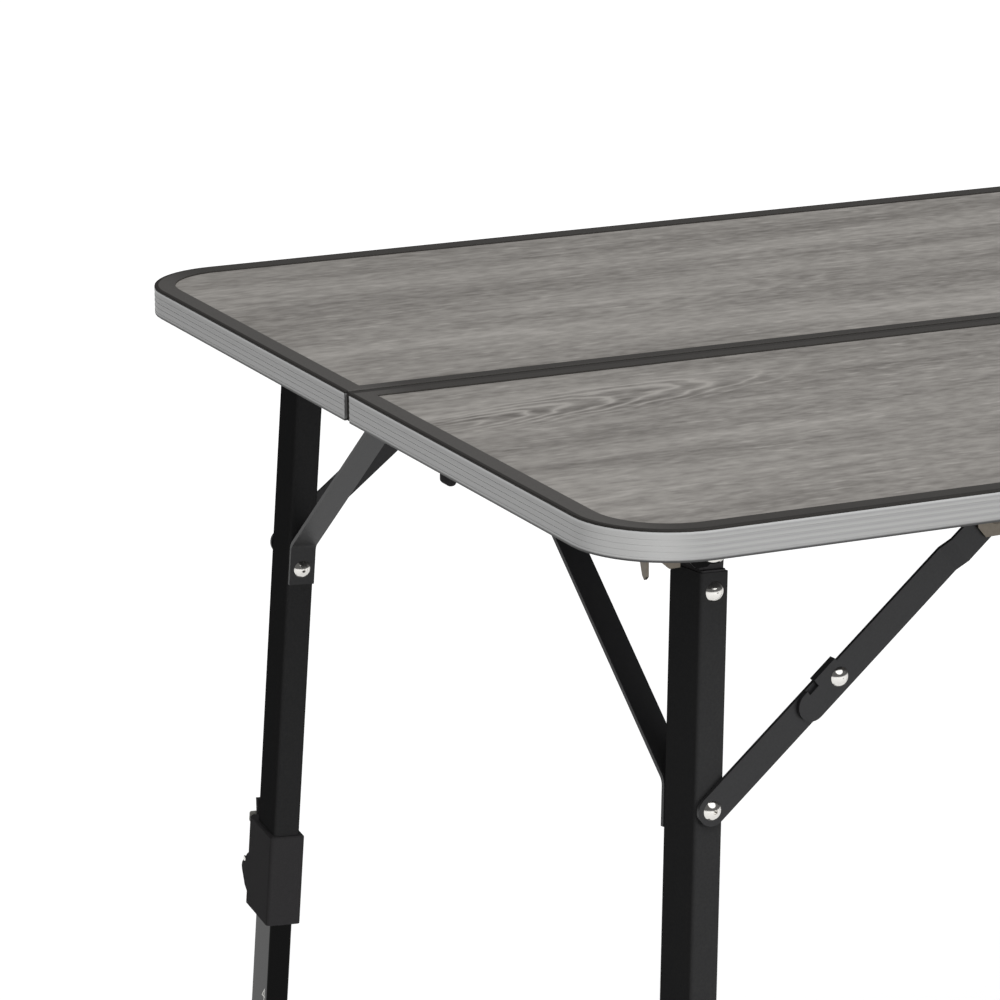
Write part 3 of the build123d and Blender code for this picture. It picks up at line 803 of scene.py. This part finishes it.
# Each number with its distance down the leg in millimetres
marks = ((4, 512), (3, 560), (2, 608))
for corner in corners:
    pivot, endward, outward, up = leg_axes(corner)
    shape = bmesh.new()
    for number, down in marks:
        place = pivot - up * down * MM + endward * (inner_face + mark_lift) - outward * mark_inset
        reading_right = up.cross(endward)
        mesh = digit_mesh(number)
        add_copy(shape, mesh, turned_to(place, reading_right, up, endward))
        bpy.data.meshes.remove(mesh)
        tick = bmesh.ops.create_grid(shape, x_segments=1, y_segments=1, size=0.5)["verts"]
        bmesh.ops.scale(shape, verts=tick, vec=tick_size)
        tick_place = turned_to(place - up * tick_drop, reading_right, up, endward)
        bmesh.ops.transform(shape, matrix=tick_place, verts=tick)
    fit_piece(corner + "_height_marks", shape, mark_print, corner + "_lower_leg")
print("printed marks", [number for number, down in marks])

# %% [markdown]
# The clamp lever turns on a steel pin between two lugs, and a gusset stiffens each lug on its
# outer side. The outline of a gusset is drawn and extruded, and its outer edge is rounded. The
# ends of the pin show in the gussets, as low discs with a rounded rim.

# %% Lug gussets
gusset_inner = 9.3 * MM
gusset_outer = 13.3 * MM
gusset_rounding = 0.9
# Distance out from the leg's axis, and height above the pin, in millimetres
gusset_outline = ((24, 9), (30, 6), (41, -5), (42, -8), (41, -11), (33, -21), (24, -26))
pin_out = 34.2
for corner in corners:
    pivot, endward, outward, up = leg_axes(corner)
    pin = Vector(joints[corner + "_clamp_lever_turn"]["pos_m"])
    shape = bmesh.new()
    for side in (1, -1):
        facing = endward * side
        start = pin + facing * gusset_inner
        points = [start + outward * (out - pin_out) * MM + up * rise * MM for out, rise in gusset_outline]
        raised = drawn_plate(shape, points, facing * (gusset_outer - gusset_inner))
        outer_edges = [edge for edge in shape.edges if all(vert in raised for vert in edge.verts)]
        rounded_edges(shape, outer_edges, gusset_rounding, steps=3)
    fit_piece(corner + "_lug_gussets", shape, black_nylon, corner + "_leg")
print("fitted", len(corners), "pairs of gussets")

# %% Lever pin ends
pin_end_radius = 2.2 * MM
pin_end_height = 1.0 * MM
pin_end_rounding = 0.4
pin_end_lift = 0.3 * MM
for corner in corners:
    pivot, endward, outward, up = leg_axes(corner)
    pin = Vector(joints[corner + "_clamp_lever_turn"]["pos_m"])
    shape = bmesh.new()
    for side in (1, -1):
        disc = bmesh.ops.create_cone(
            shape,
            cap_ends=True,
            segments=16,
            radius1=pin_end_radius,
            radius2=pin_end_radius,
            depth=pin_end_height,
        )["verts"]
        disc_edges = {edge for vert in disc for edge in vert.link_edges}
        upper_edges = [edge for edge in disc_edges if min(vert.co.z for vert in edge.verts) > 0]
        rounded = rounded_edges(shape, upper_edges, pin_end_rounding, steps=2)
        disc = list({vert for vert in disc + rounded if vert.is_valid})
        facing = endward * side
        place = pin + facing * (gusset_outer + pin_end_lift)
        bmesh.ops.transform(shape, matrix=turned_to(place, up.cross(facing), up, facing), verts=disc)
    fit_piece(corner + "_lever_pin_ends", shape, nickel, corner + "_leg")
print("fitted", len(corners), "pairs of pin ends")

# %% [markdown]
# The finger end of each lever wears a pale rubber pad, a soft block with well rounded edges
# that tells the hand where to pull.

# %% Finger pads
pad_out = 38.4 * MM
pad_down = 387 * MM
pad_size = (19, 8.5, 6)
pad_rounding = 1.6
for corner in corners:
    pivot, endward, outward, up = leg_axes(corner)
    shape = bmesh.new()
    block = rounded_block(shape, pad_size, pad_rounding, steps=4)
    place = pivot + outward * pad_out - up * pad_down
    bmesh.ops.transform(shape, matrix=turned_to(place, endward, up, outward), verts=block)
    smooth_all(shape)
    fit_piece(corner + "_finger_pad", shape, pale_rubber, corner + "_lever")
print("fitted", len(corners), "finger pads")

# %% [markdown]
# Next to each leg a folded lip stiffens the pivot bracket: a thin plate with one corner cut
# off, which hangs below the edge profile. It is drawn and extruded like the gussets.

# %% Bracket lips
lip_sides = (-17.4, -15.4)
lip_rounding = 0.4
# Places toward the table's end and heights, in millimetres from the hinge pin
lip_outline = ((24, 17.5), (24, -9.8), (31.5, -9.8), (37, -5), (37, 17.5))
for corner in corners:
    pivot, endward, seamward = bracket_axes(corner)
    shape = bmesh.new()
    start = pivot + seamward * lip_sides[0] * MM
    points = [start + endward * toward_end * MM + table_up * rise * MM for toward_end, rise in lip_outline]
    drawn_plate(shape, points, seamward * (lip_sides[1] - lip_sides[0]) * MM)
    rounded_edges(shape, list(shape.edges), lip_rounding, steps=2)
    fit_piece(corner + "_bracket_lip", shape, zinc, half_of(corner))
print("fitted", len(corners), "bracket lips")

# %% [markdown]
# A domed washer covers the outer end of each hinge pin. It starts as a circle, is drawn out in
# rings that grow smaller, and is closed by a flat face.

# %% Pin washers
# Radius of each ring and its distance out from the middle of the hinge pin, in millimetres
washer_rings = ((10.5, 17.45), (10.5, 18.2), (9.2, 18.9), (6.0, 19.5))
washer_radius, washer_seat = washer_rings[0]
for corner in corners:
    pivot, endward, seamward = bracket_axes(corner)
    shape = bmesh.new()
    bmesh.ops.create_circle(shape, segments=40, radius=washer_radius * MM)
    bmesh.ops.translate(shape, verts=shape.verts, vec=(0, 0, washer_seat * MM))
    border = draw_rings(shape, list(shape.edges), washer_rings[1:])
    bmesh.ops.contextual_create(shape, geom=border)
    facing = -seamward
    placed = turned_to(pivot, endward, facing.cross(endward), facing)
    bmesh.ops.transform(shape, matrix=placed, verts=shape.verts)
    smooth_all(shape)
    fit_piece(corner + "_pin_washer", shape, nickel, half_of(corner))
print("fitted", len(corners), "pin washers")

# %% [markdown]
# The hooks at the two ends of the front half have a rounded tip that points down. Both tips
# ride on the same half and make one piece.

# %% Hook tips
tip_reach = 586 * MM
tip_side = -129 * MM
tip_level = 671 * MM
tip_size = (7, 15, 8.6)
tip_rounding = 3.0
shape = bmesh.new()
for end in (1, -1):
    tip = rounded_block(shape, tip_size, tip_rounding, steps=5)
    bmesh.ops.translate(shape, verts=tip, vec=(end * tip_reach, tip_side, tip_level))
smooth_all(shape)
fit_piece("front_half_hook_tips", shape, black_nylon, "front_half")
print("fitted the hook tips")

# %% [markdown]
# The studio is a wide pale floor. Its own colour is a mid grey, so that it throws little light
# back under the table. A glow that only the camera and reflections see lifts it to white, a
# bit less near the table, where the shadow stays. In reflections its far side is dimmer, which
# shades the aluminium at the ends of the table toward the rear.

# %% Floor
floor_half = 30.0
glow_near = 0.8
glow_far = 4.0
near_strength = 0.84
dim_start = 2.40
dim_full = 2.80
dim_strength = 0.70
floor_mesh = bpy.data.meshes.new("studio_floor")
shape = bmesh.new()
bmesh.ops.create_grid(shape, x_segments=1, y_segments=1, size=floor_half)
shape.to_mesh(floor_mesh)
shape.free()
studio_floor = bpy.data.objects.new("studio_floor", floor_mesh)
bpy.context.scene.collection.objects.link(studio_floor)
floor_finish, tree, shader, place = new_finish(
    "Pale studio floor",
    metallic=0.0,
    roughness=0.9,
    specular=0.0,
)
shader.inputs["Base Color"].default_value = colour("a8a8a8")
seen = add_node(tree, "LightPath").outputs
far_side = add_node(tree, "SeparateXYZ", {"Vector": place}).outputs["Y"]
mirrored_part = add_node(
    tree,
    "MapRange",
    {"Value": far_side, "From Min": dim_start, "From Max": dim_full, "To Min": 1.0, "To Max": dim_strength},
)
shown = add_node(
    tree,
    "Math",
    {0: seen["Is Glossy Ray"], 1: mirrored_part, 2: seen["Is Camera Ray"]},
    operation="MULTIPLY_ADD",
)
distance = add_node(tree, "VectorMath", {0: place}, operation="LENGTH").outputs["Value"]
glow = add_node(
    tree,
    "MapRange",
    {"Value": distance, "From Min": glow_near, "From Max": glow_far, "To Min": near_strength, "To Max": 1.0},
)
strength = add_node(tree, "Math", {0: shown, 1: glow}, operation="MULTIPLY")
white = add_node(tree, "Emission", {"Color": (1, 1, 1, 1), "Strength": strength})
lifted = add_node(tree, "AddShader", {0: shader, 1: white})
tree.links.new(lifted.outputs[0], tree.nodes["Material Output"].inputs["Surface"])
floor_mesh.materials.append(floor_finish)
print("floor is", 2 * floor_half, "m wide")

# %% [markdown]
# The sky is plain white to the camera. To everything else it is a weak fill, because the lamps
# are to draw the shapes.

# %% World
fill_strength = 0.15
world = bpy.data.worlds.new("studio_world")
bpy.context.scene.world = world
world.use_nodes = True
tree = world.node_tree
background = tree.nodes["Background"]
seen = add_node(tree, "LightPath").outputs
sky = add_node(
    tree,
    "MapRange",
    {"Value": seen["Is Camera Ray"], "To Min": fill_strength, "To Max": 1.0},
)
tree.links.new(sky.outputs[0], background.inputs["Strength"])
background.inputs["Color"].default_value = (1, 1, 1, 1)
print("world set, fill", fill_strength)

# %% [markdown]
# A large round key lamp stands high at the front, so that every rivet shows it as one spot,
# and a smaller one hangs over the top. Two weaker lamps, low at the front and at the left,
# reach the legs under the top; they stay out of reflections, which would only grow busy.

# %% Lamps
table_middle = Vector((0, 0, 0.55))


def soft_lamp(name, position, size, watts, mirrored):
    """Round area lamp that points at the table, and may show in reflections."""
    lamp = bpy.data.lights.new(name, "AREA")
    lamp.shape = "DISK"
    lamp.size = size
    lamp.energy = watts
    holder = bpy.data.objects.new(name, lamp)
    aim = (table_middle - Vector(position)).to_track_quat("-Z", "Y")
    holder.matrix_world = Matrix.Translation(position) @ aim.to_matrix().to_4x4()
    holder.visible_glossy = mirrored
    bpy.context.scene.collection.objects.link(holder)


soft_lamp("key_lamp", (0.2, -2.7, 3.8), size=5.0, watts=102, mirrored=True)
soft_lamp("top_lamp", (0.3, 0.8, 3.2), size=2.6, watts=26, mirrored=True)
soft_lamp("low_lamp", (0.8, -3.8, 1.0), size=2.2, watts=58, mirrored=False)
soft_lamp("side_lamp", (-2.4, -2.6, 1.0), size=2.2, watts=17, mirrored=False)
print("set", len(bpy.data.lights), "lamps")

# %% [markdown]
# The camera stands where the photograph's did, found from the straight edges of the top: a
# long lens in front of the left-hand end, about 3.4 metres from the middle of the table. It
# looks 25 degrees to the right of straight across the table, and 15 degrees down.

# %% Camera
camera_place = Vector((-1.78344, -2.76477, 1.43886))
camera_azimuth = radians(25.082)
camera_fall = radians(15.124)
camera_roll = radians(-0.2657)
look = Vector((
    sin(camera_azimuth) * cos(camera_fall),
    cos(camera_azimuth) * cos(camera_fall),
    -sin(camera_fall),
))
level_right = look.cross(table_up).normalized()
level_up = level_right.cross(look)
right = cos(camera_roll) * level_right + sin(camera_roll) * level_up
up = cos(camera_roll) * level_up - sin(camera_roll) * level_right
camera_data = bpy.data.cameras.new("camera")
camera_data.sensor_width = 36
camera_data.lens = 170.12
camera = bpy.data.objects.new("camera", camera_data)
camera.matrix_world = turned_to(camera_place, right, up, -look)
bpy.context.scene.collection.objects.link(camera)
bpy.context.scene.camera = camera
bpy.context.scene.view_settings.view_transform = "Standard"
print("camera", camera_data.lens, "mm")
